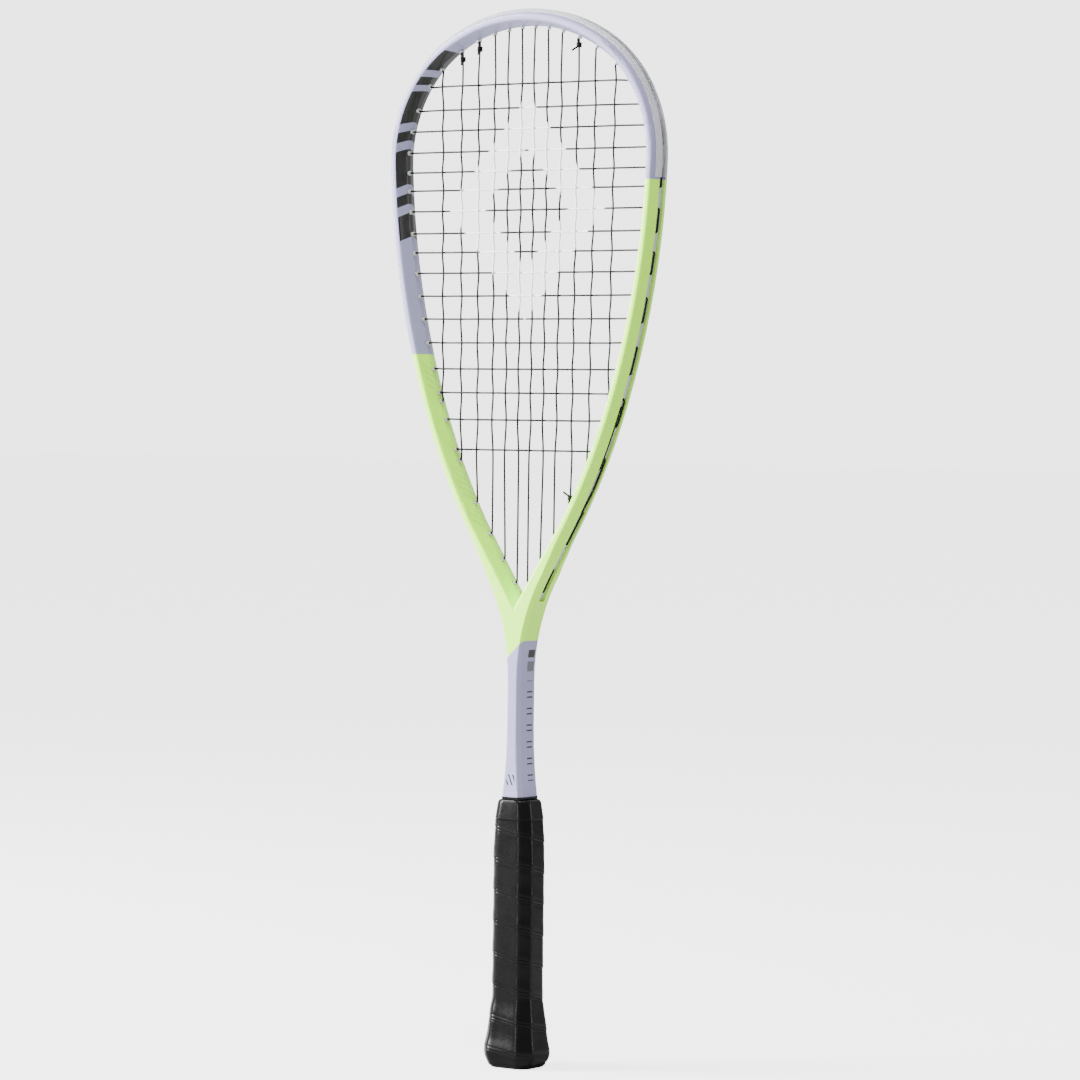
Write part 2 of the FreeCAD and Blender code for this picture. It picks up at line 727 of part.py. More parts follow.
def staple(direction):
    """U-shaped staple driven through the butt cap from the front or the back."""
    height, out = STAPLE_PLACE
    face = PALLET[1] + out
    wire = STAPLE_WIRE
    crown = Part.makeBox(STAPLE_CROWN, wire, wire,
                         Vector(-STAPLE_CROWN / 2, face - wire, height))
    legs = [Part.makeBox(wire, STAPLE_LEG, wire, Vector(x, face - STAPLE_LEG, height))
            for x in (-STAPLE_CROWN / 2, STAPLE_CROWN / 2 - wire)]
    solid = crown.fuse(legs).removeSplitter()
    return solid if direction > 0 else solid.mirror(ORIGIN, Y_AXIS)


def grip_staple():
    """Staple through the start of the grip, low on the side of the butt cap."""
    height, out = GRIP_STAPLE_PLACE
    face = PALLET[0] + out
    wire = STAPLE_WIRE
    crown = Part.makeBox(wire, STAPLE_CROWN, wire,
                         Vector(face - wire, -STAPLE_CROWN / 2, height))
    legs = [Part.makeBox(STAPLE_LEG, wire, wire, Vector(face - STAPLE_LEG, y, height))
            for y in (-STAPLE_CROWN / 2, STAPLE_CROWN / 2 - wire)]
    return crown.fuse(legs).removeSplitter()


def pallets():
    """Foam handle round the tang, in a front and a back half."""
    low, shoulder, taper, top = PALLET_LEVELS
    solid = stack([(*PALLET_SPIGOT, low), (*PALLET_SPIGOT, shoulder)])
    solid = solid.fuse(stack([(*PALLET, shoulder), (*PALLET, taper), (*PALLET_TOP, top)]))
    tang = Part.Face(shaft_wire(*TANG, low - 1)).extrude(Vector(0, 0, top - low + 2))
    solid = solid.cut([tang, staple(1), staple(-1)])
    reach = 2 * PALLET[0]
    gap = PALLET_SPLIT / 2
    front = block(reach, reach / 2, 0, 2 * top)
    front.translate(Vector(0, -reach / 2 - gap, 0))
    back = front.mirror(ORIGIN, Y_AXIS)
    return solid.common(front), solid.common(back)


def grown(size, growth, z):
    """The handle's octagon, larger by this much each side."""
    return (size[0] + growth, size[1] + growth, z)


def cap_outside():
    """The flared cap under the lower end of the grip."""
    return stack([grown(PALLET, growth, z) for z, growth in FLARE])


def badge():
    """Plain plate in the end of the cap."""
    return stack([(*BADGE, 0.0), (*BADGE, BADGE_THICK)])


def butt_cap():
    """Moulded cap with the flare of the handle and a foot that the grip ends on."""
    foot = Part.makeLoft([rounded(octagon(*grown(PALLET, growth, z)), FOOT_CORNER)
                          for z, growth in FOOT], True, True)
    low, shoulder = PALLET_LEVELS[:2]
    pocket = stack([grown(PALLET_SPIGOT, CAP_WALL_GAP, low - 0.5),
                    grown(PALLET_SPIGOT, CAP_WALL_GAP, shoulder + 1)])
    solid = foot.fuse(cap_outside())
    return solid.cut([pocket, badge(), staple(1), staple(-1), grip_staple()])


def taper_sections(thick, top):
    """Octagons of a layer this thick over the pallets, from the shoulder to a height."""
    _, shoulder, taper, end = PALLET_LEVELS
    share = (top - taper) / (end - taper)
    last = [full + (narrow - full) * share for full, narrow in zip(PALLET, PALLET_TOP)]
    return [grown(PALLET, thick, shoulder), grown(PALLET, thick, taper),
            grown(last, thick, top)]


def grip_outside():
    """Outer shape of the grip, with the pared end that goes under the collar."""
    flare = [grown(PALLET, GRIP_THICK + growth, max(z, GRIP_BOTTOM)) for z, growth in FLARE[:-1]]
    lip, end = COLLAR_LEVELS[0], PALLET_LEVELS[-1]
    body = stack(flare + taper_sections(GRIP_THICK, lip))
    return body.fuse(stack(taper_sections(GRIP_THIN, end)))


def grip():
    """Cushioned wrap, as a plain sleeve of the same outer shape."""
    core = stack(taper_sections(0.0, PALLET_LEVELS[-1]))
    return grip_outside().cut([core, cap_outside(), grip_staple(), staple(1), staple(-1)])


def finishing_tape():
    """Tape wound round the top of the handle, where it meets the shaft."""
    low, high = FINISHING
    start = TANG_TOP
    tape = shoulder(FINISHING_THICK, start, high)
    foot = Part.Face(shaft_wire(*[size + FINISHING_THICK for size in TANG], start))
    tape = tape.fuse(foot.extrude(Vector(0, 0, low - start)))
    tang = Part.Face(shaft_wire(*TANG, low - 1)).extrude(Vector(0, 0, start - low + 1))
    return tape.cut([shoulder(0.0, start, SHAFT_FLARE_END), tang])


def collar():
    """Smooth rubber ring that holds the end of the grip and closes down on the shaft."""
    outer = stack([(*size, z) for size, z in zip(COLLAR_SIZES, COLLAR_LEVELS)])
    end = PALLET_LEVELS[-1]
    bore = shoulder(FINISHING_THICK + GAP, end, SHAFT_FLARE_END)
    foot = Part.Face(shaft_wire(*[size + FINISHING_THICK + GAP for size in TANG], TANG_TOP))
    foot = foot.extrude(Vector(0, 0, end - TANG_TOP))
    return outer.cut([stack(taper_sections(GRIP_THIN + CAP_WALL_GAP, end)), bore, foot])


def foam_core():
    """Foam that fills the lower part of the hollow tang."""
    return block(BORE[0] - GAP, BORE[1] - GAP, *FOAM)


# ---- Export -------------------------------------------------------------------------------

def main():
    """Write one STEP file for each piece of the racket."""
    front, back = pallets()
    parts = {
        "frame": frame(),
        "head_bumper": bumper(),
        "grommet_strip_left": strip(-1, STRIP_START, STRIP_END),
        "grommet_strip_right": strip(1, STRIP_START, STRIP_END),
        "throat_grommets_left": strip(-1, *THROAT_STRIP),
        "throat_grommets_right": strip(1, *THROAT_STRIP),
        "main_string": main_string(),
        "cross_string": cross_string(),
        "pallet_front": front,
        "pallet_back": back,
        "foam_core": foam_core(),
        "butt_cap": butt_cap(),
        "butt_badge": badge(),
        "butt_staples": Part.Compound([staple(1), staple(-1)]),
        "grip_staple": grip_staple(),
        "grip_tape": grip(),
        "rubber_collar": collar(),
        "finishing_tape": finishing_tape(),
    }
    os.makedirs("parts", exist_ok=True)
    for name, shape in parts.items():
        shape.exportStep("parts/" + name + ".step")
        print(name, "valid", shape.isValid(), "solids", len(shape.Solids),
              "volume", round(shape.Volume, 1))


main()
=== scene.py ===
import math

import bmesh
import bpy
from mathutils import Matrix, Vector, noise


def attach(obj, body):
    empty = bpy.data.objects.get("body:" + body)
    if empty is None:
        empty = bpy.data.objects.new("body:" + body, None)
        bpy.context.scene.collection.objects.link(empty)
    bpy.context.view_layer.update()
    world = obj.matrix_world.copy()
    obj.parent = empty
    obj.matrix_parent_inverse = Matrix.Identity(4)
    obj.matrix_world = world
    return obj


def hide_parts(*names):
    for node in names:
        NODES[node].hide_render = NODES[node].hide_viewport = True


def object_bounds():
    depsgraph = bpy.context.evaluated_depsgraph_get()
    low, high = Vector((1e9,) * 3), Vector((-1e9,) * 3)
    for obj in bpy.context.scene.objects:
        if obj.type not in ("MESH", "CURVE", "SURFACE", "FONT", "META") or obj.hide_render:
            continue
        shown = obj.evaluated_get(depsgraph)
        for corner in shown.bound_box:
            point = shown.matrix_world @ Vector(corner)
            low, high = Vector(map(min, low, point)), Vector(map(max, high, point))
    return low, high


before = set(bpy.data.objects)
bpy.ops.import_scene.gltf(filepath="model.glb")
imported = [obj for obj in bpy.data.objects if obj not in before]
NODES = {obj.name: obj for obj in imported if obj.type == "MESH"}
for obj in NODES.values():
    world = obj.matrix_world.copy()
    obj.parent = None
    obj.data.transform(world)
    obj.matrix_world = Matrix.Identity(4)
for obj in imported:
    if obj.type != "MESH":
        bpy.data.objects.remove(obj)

# A strung squash racket that stands on its butt. Z runs up the shaft, X lies in the string bed
# and the head faces -Y. Sizes are in millimetres here and become metres through MM.

MM = 0.001
SCENE = bpy.context.scene
CAD_BOX = [list(corner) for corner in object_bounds()]

# ---- Sizes that the looks follow ----------------------------------------------------------

# Hoop: radius and degrees of each arc, from the crown down one side
HEAD_ARCS = ((114.0, 32.3), (85.5, 59.75), (551.0, 16.6), (442.0, 12.4))
HOOP_HALF = 5.15              # half the width of the hoop's tube
CROWN = 679.2                 # height of the hoop's centreline at its top

# Paint
LEFT_CUT = 462.0              # lavender above this on the left of the hoop
RIGHT_CUT = 573.0             # and above this on the right
SHAFT_CUT = 270.0             # lavender below this on the shaft
SHAFT_CUT_RISE = 7.0          # the line climbs by this from the middle to the right edge
SHAFT_HALF = 7.2              # half the width of the shaft where the line crosses it
LAVENDER = (0.265, 0.260, 0.420)
LIME = (0.47, 1.0, 0.05)
INK = (0.0025, 0.0025, 0.003)
BARS = ((66, 86), (92, 99), (104, 128), (134, 141), (147, 171), (177, 184), (190, 206))
BAR_SLANT = 0.9               # sideways lean of the bars, as a share of the way across
BAR_EDGE = -1.7               # out of the tube's centreline, where the bars end at its ridge

# Plain marks on the shaft, as ranges of X, Y and Z
SHAFT_FRONT = -8.0            # the front faces lie beyond this in Y
BLOCK_Y = (-1.0, 6.2)
DARK_BLOCK_Z = (266.0, 271.0)
GREY_BLOCK_Z = (257.0, 263.5)
TICKS_Y = (-0.6, 5.4)
TICKS_Z = (186.0, 251.0)
TICK_PITCH = 10.8
TICK_PAIR = ((0.20, 0.29), (0.52, 0.61))   # shares of the pitch
SLASHES_X = (-3.4, 3.2)
SLASHES_Z = (183.5, 190.5)
SLASH_PITCH = 3.3
SLASH_LEAN = 0.45
SLASH_SHARE = (0.25, 0.62)

# Painted shadow of the strings and grommet barrels: faint darker slanted hatching on the inner
# left side of the hoop
HATCH_X = -20.0               # it lies further left than this
HATCH_Y = (-7.0, 5.0)
HATCH_Z = ((439.0, 457.0), (368.0, 390.0), (350.0, 360.0))
HATCH_PITCH = 4.4
HATCH_LEAN = 0.6
HATCH_SHARE = (0.3, 0.7)

# Outline of a diamond on the strings
DIAMOND_MIDDLE = 557.0        # height
DIAMOND_HALF = (62.0, 72.0)   # half width and half height
DIAMOND_BAND = (0.55, 1.0)    # from its inner edge to its outer edge, as shares of those
STRING_BED_Y = (-1.5, 1.5)

# Grip
GRIP_LEVELS = (2.7, 5.5, 8.0, 10.0, 12.0, 14.0, 18.0, 24.0, 31.0, 38.0, 45.0, 142.0,
               160.9, 161.1, 163.4)
GRIP_WIDE = (17.35, 18.8, 19.45, 19.6, 19.55, 19.25, 18.5, 17.7, 17.0, 16.2, 15.3, 15.3,
             14.24, 12.92, 12.8)                                   # half widths
GRIP_DEEP = (15.45, 16.9, 17.55, 17.7, 17.65, 17.35, 16.6, 15.8, 15.1, 14.3, 13.4, 13.4,
             12.87, 11.55, 11.5)                                   # half depths
GRIP_FOOT = GRIP_LEVELS[0]
GRIP_LIP, PARED_EDGE, GRIP_TOP = GRIP_LEVELS[-3:]     # pared down between the lip and the edge
PLAIN_HEIGHT = 81.6           # a height where the grip has its plain section
BEVEL = 0.42                  # corner bevel, as a share of the half depth
GRIP_CORNER = 5.6             # rounding of the wrapped corners
INNER_CORNER = 1.0            # rounding inside the wrap
GRIP_WALL = 1.8               # from the outer outline to the wrap's inner surface
GRIP_PARED = 0.35             # the same under the collar
WRAP_STEPS = (9, 4)           # points along each side and round each corner
WRAP_PITCH = 20.4
WRAP_PHASE = 5.6              # height of a seam where it passes the right side
WRAP_DEPTH = 0.25             # the tape's surface lies this far inside the grip's solid
WRAP_WOBBLE = 0.16            # unevenness of the tape
WOBBLE_SCALE = 0.09           # waves of the unevenness per millimetre
RIM_TOLERANCE = 0.01
# Across one turn of the tape: height above its lower edge, and how far it stands out
WRAP_PROFILE = ((0.0, -0.10), (0.10, 0.10), (0.30, 0.23), (0.7, 0.31), (1.2, 0.32),
                (1.8, 0.29), (2.1, 0.23), (2.35, 0.20), (2.6, 0.23), (3.0, 0.28),
                (4.0, 0.27), (5.5, 0.22), (7.2, 0.13), (9.0, 0.05), (11.5, 0.01),
                (14.0, 0.00), (16.5, 0.00), (18.0, 0.01), (18.6, -0.03), (18.9, -0.05),
                (19.2, -0.03), (19.8, 0.00), (20.25, -0.05))

# Collar: half width, half depth and height round its section, from inside its lower lip
COLLAR = ((13.12, 11.78, 161.2), (13.45, 12.12, 160.95), (13.9, 12.55, 161.0),
          (14.15, 12.8, 161.2), (14.2, 12.86, 161.6), (14.15, 12.84, 162.0),
          (14.08, 12.8, 162.6), (13.9, 12.7, 164.0), (13.5, 12.5, 166.5),
          (13.1, 12.3, 169.0), (12.85, 12.12, 170.8), (12.6, 12.0, 172.0),
          (12.2, 11.88, 172.9), (11.6, 11.72, 173.5), (10.8, 11.58, 173.85),
          (9.6, 11.5, 173.9), (9.1, 11.46, 173.4), (9.1, 11.42, 168.0),
          (13.05, 11.72, 164.0))
COLLAR_CORNER = 5.0
COLLAR_STEPS = (8, 6)         # points along each side and round each corner


# ---- Materials ----------------------------------------------------------------------------

class Finish:
    """The node tree of one material, with a short call for each kind of node it uses."""

    def __init__(self, name, **sockets):
        self.material = bpy.data.materials.new(name)
        self.material.use_nodes = True
        self.tree = self.material.node_tree
        self.shader = self.tree.nodes["Principled BSDF"]
        for socket, value in sockets.items():
            self.shader.inputs[socket.replace("_", " ")].default_value = value
        coordinates = self.add("ShaderNodeTexCoord")
        scaled = self.add("ShaderNodeVectorMath", operation="SCALE")
        self.tree.links.new(coordinates.outputs["Object"], scaled.inputs[0])
        scaled.inputs["Scale"].default_value = 1 / MM
        self.place = scaled.outputs[0]
        split = self.add("ShaderNodeSeparateXYZ")
        self.tree.links.new(self.place, split.inputs[0])
        self.x, self.y, self.z = split.outputs

    def add(self, kind, **settings):
        """A new node with these settings."""
        node = self.tree.nodes.new(kind)
        for name, value in settings.items():
            setattr(node, name, value)
        return node

    def put(self, socket, value):
        """Link a socket to a value's output, or set the number or colour on it."""
        if isinstance(value, bpy.types.NodeSocket):
            self.tree.links.new(value, socket)
        elif isinstance(value, tuple) and len(value) == 3 and socket.type == "RGBA":
            socket.default_value = (*value, 1.0)
        else:
            socket.default_value = value

    def math(self, operation, first, second=0.0, clamp=False):
        """A Math node."""
        node = self.add("ShaderNodeMath", operation=operation, use_clamp=clamp)
        self.put(node.inputs[0], first)
        self.put(node.inputs[1], second)
        return node.outputs[0]

    def step(self, value, low, high):
        """0 below low and 1 above high, smooth between them."""
        node = self.add("ShaderNodeMapRange", interpolation_type="SMOOTHSTEP")
        self.put(node.inputs["Value"], value)
        self.put(node.inputs["From Min"], low)
        self.put(node.inputs["From Max"], high)
        return node.outputs["Result"]

    def within(self, value, low, high, blur=0.12):
        """1 between low and high, with edges this soft."""
        rise = self.step(value, low - blur, low + blur)
        fall = self.step(value, high - blur, high + blur)
        return self.math("SUBTRACT", rise, fall, clamp=True)

    def both(self, *masks):
        """1 where every mask is 1."""
        result = masks[0]
        for mask in masks[1:]:
            result = self.math("MULTIPLY", result, mask)
        return result

    def either(self, *masks):
        """1 where any mask is 1."""
        result = masks[0]
        for mask in masks[1:]:
            result = self.math("MAXIMUM", result, mask)
        return result

    def noise(self, size, detail=2.0, roughness=0.5):
        """Noise from 0 to 1, with features of about this size in millimetres."""
        node = self.add("ShaderNodeTexNoise")
        self.put(node.inputs["Vector"], self.place)
        node.inputs["Scale"].default_value = 1 / size
        node.inputs["Detail"].default_value = detail
        node.inputs["Roughness"].default_value = roughness
        return node.outputs["Fac"]

    def cells(self, size, feature="F1"):
        """Distance within cells of about this size in millimetres."""
        node = self.add("ShaderNodeTexVoronoi", feature=feature)
        self.put(node.inputs["Vector"], self.place)
        node.inputs["Scale"].default_value = 1 / size
        return node.outputs["Distance"]

    def blend(self, share, first, second, kind="MIX"):
        """A colour between two, by this share of the second."""
        node = self.add("ShaderNodeMix", data_type="RGBA", blend_type=kind)
        self.put(node.inputs["Factor"], share)
        colours = [socket for socket in node.inputs if socket.type == "RGBA"]
        self.put(colours[0], first)
        self.put(colours[1], second)
        return [socket for socket in node.outputs if socket.type == "RGBA"][0]

    def span(self, value, low, high):
        """A value from 0 to 1 spread over a range."""
        node = self.add("ShaderNodeMapRange")
        self.put(node.inputs["Value"], value)
        node.inputs["To Min"].default_value = low
        node.inputs["To Max"].default_value = high
        return node.outputs["Result"]

    def bump(self, height, strength, depth):
        """Bump of this depth in millimetres on the shader's normal, over any already there."""
        node = self.add("ShaderNodeBump")
        node.inputs["Strength"].default_value = strength
        node.inputs["Distance"].default_value = depth * MM
        self.put(node.inputs["Height"], height)
        normal = self.shader.inputs["Normal"]
        if normal.is_linked:
            self.put(node.inputs["Normal"], normal.links[0].from_socket)
        self.put(normal, node.outputs["Normal"])

    def set(self, **sockets):
        """Link or set sockets of the shader."""
        for name, value in sockets.items():
            self.put(self.shader.inputs[name.replace("_", " ")], value)


def head_stretches():
    """Centre, radius, first heading and distance of each arc of the hoop, crown first."""
    x, z, heading, distance, stretches = 0.0, CROWN, 0.0, 0.0, []
    for radius, degrees in HEAD_ARCS:
        turn = math.radians(heading)
        centre = (x - radius * math.sin(turn), z - radius * math.cos(turn))
        stretches.append((*centre, radius, turn, distance))
        heading += degrees
        distance += radius * math.radians(degrees)
        turn = math.radians(heading)
        x, z = centre[0] + radius * math.sin(turn), centre[1] + radius * math.cos(turn)
    return stretches


def along_hoop(finish, stretch):
    """Distance from the crown and distance out of the centreline, on the left of the hoop."""
    centre_x, centre_z, radius, heading, distance = stretch
    right = finish.math("SUBTRACT", finish.math("MULTIPLY", finish.x, -1.0), centre_x)
    up = finish.math("SUBTRACT", finish.z, centre_z)
    turned = finish.math("SUBTRACT", finish.math("ARCTAN2", right, up), heading)
    along = finish.math("ADD", finish.math("MULTIPLY", turned, radius), distance)
    squares = finish.math("ADD", finish.math("MULTIPLY", right, right),
                          finish.math("MULTIPLY", up, up))
    out = finish.math("SUBTRACT", finish.math("SQRT", squares), radius)
    return along, out


def hoop_bars(finish):
    """Slanted black bars on the inner half of the hoop's left side."""
    _, second, third, _ = head_stretches()
    upper, upper_out = along_hoop(finish, second)
    lower, lower_out = along_hoop(finish, third)
    low = finish.math("GREATER_THAN", upper, third[-1])
    high = finish.math("SUBTRACT", 1.0, low)
    along = finish.math("ADD", finish.both(high, upper), finish.both(low, lower))
    out = finish.math("ADD", finish.both(high, upper_out), finish.both(low, lower_out))
    slanted = finish.math("SUBTRACT", along, finish.math("MULTIPLY", out, BAR_SLANT))
    bars = finish.either(*[finish.within(slanted, *bar) for bar in BARS])
    inner = finish.within(out, -2 * HOOP_HALF, BAR_EDGE)
    left = finish.math("LESS_THAN", finish.x, 0.0)
    head = finish.math("GREATER_THAN", finish.z, LEFT_CUT)
    return finish.both(bars, inner, left, head)


def shaft_marks(finish, normal_x):
    """Plain blocks and ticks on the shaft's right side, and two slashes on its front."""
    side = finish.math("GREATER_THAN", normal_x, 0.6)
    block = finish.both(finish.within(finish.y, *BLOCK_Y), side)
    dark = finish.both(block, finish.within(finish.z, *DARK_BLOCK_Z))
    grey = finish.both(block, finish.within(finish.z, *GREY_BLOCK_Z))
    beat = finish.math("FRACT", finish.math("DIVIDE", finish.z, TICK_PITCH))
    pair = finish.either(*[finish.within(beat, *share, 0.012) for share in TICK_PAIR])
    rows = finish.within(finish.z, *TICKS_Z)
    ticks = finish.both(pair, rows, finish.within(finish.y, *TICKS_Y), side)
    front = finish.both(finish.math("LESS_THAN", finish.y, SHAFT_FRONT),
                        finish.within(finish.x, *SLASHES_X),
                        finish.within(finish.z, *SLASHES_Z))
    lean = finish.math("ADD", finish.x, finish.math("MULTIPLY", finish.z, SLASH_LEAN))
    beat = finish.math("FRACT", finish.math("DIVIDE", lean, SLASH_PITCH))
    slashes = finish.both(front, finish.within(beat, *SLASH_SHARE, 0.03))
    return dark, grey, finish.either(ticks, slashes)


def painted_string_shadow(finish, normal_x):
    """Painted shadow of the strings and grommet barrels: faint darker slanted hatching low on the
    inner left side of the hoop.
    """
    inner = finish.both(finish.math("GREATER_THAN", normal_x, 0.5),
                        finish.math("LESS_THAN", finish.x, HATCH_X))
    rows = finish.either(*[finish.within(finish.z, *row, 0.3) for row in HATCH_Z])
    lean = finish.math("ADD", finish.z, finish.math("MULTIPLY", finish.y, HATCH_LEAN))
    beat = finish.math("FRACT", finish.math("DIVIDE", lean, HATCH_PITCH))
    band = finish.within(finish.y, *HATCH_Y, 0.3)
    return finish.both(inner, rows, band, finish.within(beat, *HATCH_SHARE, 0.05))


def painted_carbon():
    """Gloss paint in two colours over carbon, with its plain bars, blocks and ticks."""
    finish = Finish("painted_carbon", Specular_IOR_Level=0.35, Coat_Weight=0.3,
                    Coat_Roughness=0.07)
    geometry = finish.add("ShaderNodeNewGeometry")
    split = finish.add("ShaderNodeSeparateXYZ")
    finish.put(split.inputs[0], geometry.outputs["Normal"])
    normal_x = split.outputs[0]
    left = finish.math("LESS_THAN", finish.x, 0.0)
    drop = finish.math("MULTIPLY", left, RIGHT_CUT - LEFT_CUT)
    over_cut = finish.math("ADD", finish.z, drop)
    above = finish.step(over_cut, RIGHT_CUT - 0.1, RIGHT_CUT + 0.1)
    lean = finish.math("MAXIMUM", finish.math("MINIMUM", finish.x, SHAFT_HALF), -SHAFT_HALF)
    lean = finish.math("MULTIPLY", lean, SHAFT_CUT_RISE / SHAFT_HALF)
    over_shaft = finish.math("SUBTRACT", finish.z, lean)
    below = finish.step(over_shaft, SHAFT_CUT + 0.1, SHAFT_CUT - 0.1)
    lavender = finish.either(above, below)
    colour = finish.blend(lavender, LIME, LAVENDER)
    fleck = finish.span(finish.noise(0.35, 1.0), 0.93, 1.07)
    cloud = finish.span(finish.noise(45.0, 2.0), 0.97, 1.03)
    tone = finish.math("MULTIPLY", fleck, cloud)
    colour = finish.blend(1.0, colour, grey_of(finish, tone), "MULTIPLY")
    bars = hoop_bars(finish)
    dark, grey, ticks = shaft_marks(finish, normal_x)
    # painted shadow: faint darker green hatching where the strings and grommet barrels shade the
    # hoop's inner left side
    string_shadow = finish.math("MULTIPLY", painted_string_shadow(finish, normal_x), 0.35)
    colour = finish.blend(string_shadow, colour, (0.30, 0.62, 0.10))
    colour = finish.blend(grey, colour, (0.10, 0.10, 0.13))
    colour = finish.blend(finish.either(bars, dark, ticks), colour, INK)
    finish.set(Base_Color=colour)
    finish.set(Roughness=finish.span(finish.noise(9.0, 3.0), 0.28, 0.40))
    finish.bump(finish.noise(1.6, 2.0), 0.25, 0.02)
    finish.bump(finish.either(bars, dark, ticks, grey), 0.4, 0.03)
    return finish.material


def grey_of(finish, value):
    """A grey colour of this value."""
    node = finish.add("ShaderNodeCombineColor")
    for socket in node.inputs:
        finish.put(socket, value)
    return node.outputs[0]


def clear_nylon():
    """Clear, slightly milky nylon of the bumper, scuffed along the crown."""
    finish = Finish("clear_nylon", IOR=1.5, Transmission_Weight=0.6)
    milk = finish.noise(14.0, 3.0)
    finish.set(Base_Color=finish.blend(milk, (0.80, 0.81, 0.86), (0.92, 0.93, 0.96)))
    scuff = finish.both(finish.step(finish.noise(2.2, 4.0, 0.7), 0.52, 0.70),
                        finish.step(finish.z, 610.0, 680.0))
    finish.set(Roughness=finish.span(scuff, 0.16, 0.42))
    finish.bump(finish.noise(0.9, 3.0), 0.3, 0.03)
    return finish.material


def grommet_nylon():
    """Cloudy cream nylon of the grommets."""
    finish = Finish("grommet_nylon", IOR=1.5, Transmission_Weight=0.45)
    cloud = finish.noise(6.0, 3.0)
    finish.set(Base_Color=finish.blend(cloud, (0.62, 0.63, 0.58), (0.80, 0.80, 0.76)))
    finish.set(Roughness=finish.span(finish.noise(1.4, 2.0), 0.22, 0.38))
    finish.bump(finish.noise(0.6, 2.0), 0.3, 0.02)
    return finish.material


def string_black():
    """Black coated multifilament, with the outline of a plain white diamond over the bed."""
    finish = Finish("string_black", Specular_IOR_Level=0.2)
    across = finish.math("DIVIDE", finish.math("ABSOLUTE", finish.x), DIAMOND_HALF[0])
    rise = finish.math("ABSOLUTE", finish.math("SUBTRACT", finish.z, DIAMOND_MIDDLE))
    up = finish.math("DIVIDE", rise, DIAMOND_HALF[1])
    ring = finish.math("ADD", across, up)
    ragged = finish.math("ADD", ring, finish.span(finish.noise(3.0, 2.0), -0.03, 0.03))
    stencil = finish.within(ragged, *DIAMOND_BAND, 0.02)
    bed = finish.within(finish.y, *STRING_BED_Y, 0.1)
    stencil = finish.both(stencil, bed)
    rib = finish.noise(0.22, 1.0)
    black = finish.blend(rib, (0.001, 0.001, 0.001), (0.004, 0.0035, 0.004))
    worn = finish.step(finish.noise(0.5, 2.0), 0.30, 0.42)
    finish.set(Base_Color=finish.blend(finish.both(stencil, worn), black, (0.86, 0.86, 0.88)))
    finish.set(Roughness=finish.span(rib, 0.30, 0.48))
    finish.bump(rib, 0.4, 0.03)
    return finish.material


def grip_polyurethane():
    """Tacky black polyurethane with a fine leather grain."""
    finish = Finish("grip_polyurethane", Specular_IOR_Level=0.12)
    grain = finish.cells(0.55, "SMOOTH_F1")
    patch = finish.noise(11.0, 3.0, 0.6)
    finish.set(Base_Color=finish.blend(patch, (0.0010, 0.0009, 0.0011), (0.0028, 0.0023, 0.0027)))
    rough = finish.math("ADD", finish.span(patch, 0.17, 0.31), finish.span(grain, -0.04, 0.05))
    finish.set(Roughness=rough)
    finish.bump(finish.noise(2.6, 3.0, 0.6), 0.35, 0.10)
    finish.bump(grain, 0.25, 0.03)
    return finish.material


def collar_rubber():
    """Soft black rubber with a slight moulding shine."""
    finish = Finish("collar_rubber", Specular_IOR_Level=0.14)
    patch = finish.noise(5.0, 3.0)
    finish.set(Base_Color=finish.blend(patch, (0.001, 0.001, 0.001), (0.0025, 0.0022, 0.0025)))
    finish.set(Roughness=finish.span(patch, 0.20, 0.30))
    finish.bump(finish.noise(0.4, 2.0), 0.25, 0.02)
    return finish.material


def tape_vinyl():
    """Glossy black vinyl tape, stretched a little round the shaft."""
    finish = Finish("tape_vinyl", Specular_IOR_Level=0.14)
    stretch = finish.noise(1.8, 3.0)
    finish.set(Base_Color=finish.blend(stretch, (0.002, 0.002, 0.002), (0.005, 0.005, 0.005)))
    finish.set(Roughness=finish.span(stretch, 0.16, 0.30))
    finish.bump(stretch, 0.3, 0.04)
    return finish.material


def moulded_plastic(name, dark, light, grain=0.5, shine=0.5):
    """Moulded plastic with spark-eroded grain."""
    finish = Finish(name, Specular_IOR_Level=shine)
    patch = finish.noise(7.0, 2.0)
    texture = finish.noise(grain, 2.0)
    finish.set(Base_Color=finish.blend(patch, dark, light))
    finish.set(Roughness=finish.span(texture, 0.38, 0.58))
    finish.bump(texture, 0.4, 0.05)
    return finish.material


def foam(name, dark, light, cell):
    """Rigid foam with its cells open at the surface."""
    finish = Finish(name, Roughness=0.85)
    bubbles = finish.cells(cell)
    finish.set(Base_Color=finish.blend(bubbles, dark, light))
    finish.bump(bubbles, 0.7, 0.4)
    return finish.material


def staple_steel():
    """Galvanised wire, drawn along its length."""
    finish = Finish("staple_steel", Metallic=1.0)
    drawn = finish.noise(0.35, 3.0)
    finish.set(Base_Color=finish.blend(drawn, (0.45, 0.45, 0.46), (0.62, 0.62, 0.63)))
    finish.set(Roughness=finish.span(drawn, 0.25, 0.45))
    finish.bump(drawn, 0.2, 0.02)
    return finish.material


MATERIALS = {
    "painted_carbon": painted_carbon(),
    "clear_nylon": clear_nylon(),
    "grommet_nylon": grommet_nylon(),
    "string_black": string_black(),
    "handle_foam": foam("handle_foam", (0.10, 0.10, 0.11), (0.24, 0.24, 0.25), 1.1),
    "core_foam": foam("core_foam", (0.55, 0.47, 0.25), (0.80, 0.72, 0.45), 0.9),
    "cap_plastic": moulded_plastic("cap_plastic", (0.0012, 0.0011, 0.0013),
                                   (0.0030, 0.0027, 0.0030), shine=0.1),
    "badge_plastic": moulded_plastic("badge_plastic", (0.30, 0.30, 0.42), (0.36, 0.36, 0.50), 0.3),
    "staple_steel": staple_steel(),
    "grip_polyurethane": grip_polyurethane(),
    "collar_rubber": collar_rubber(),
    "tape_vinyl": tape_vinyl(),
}

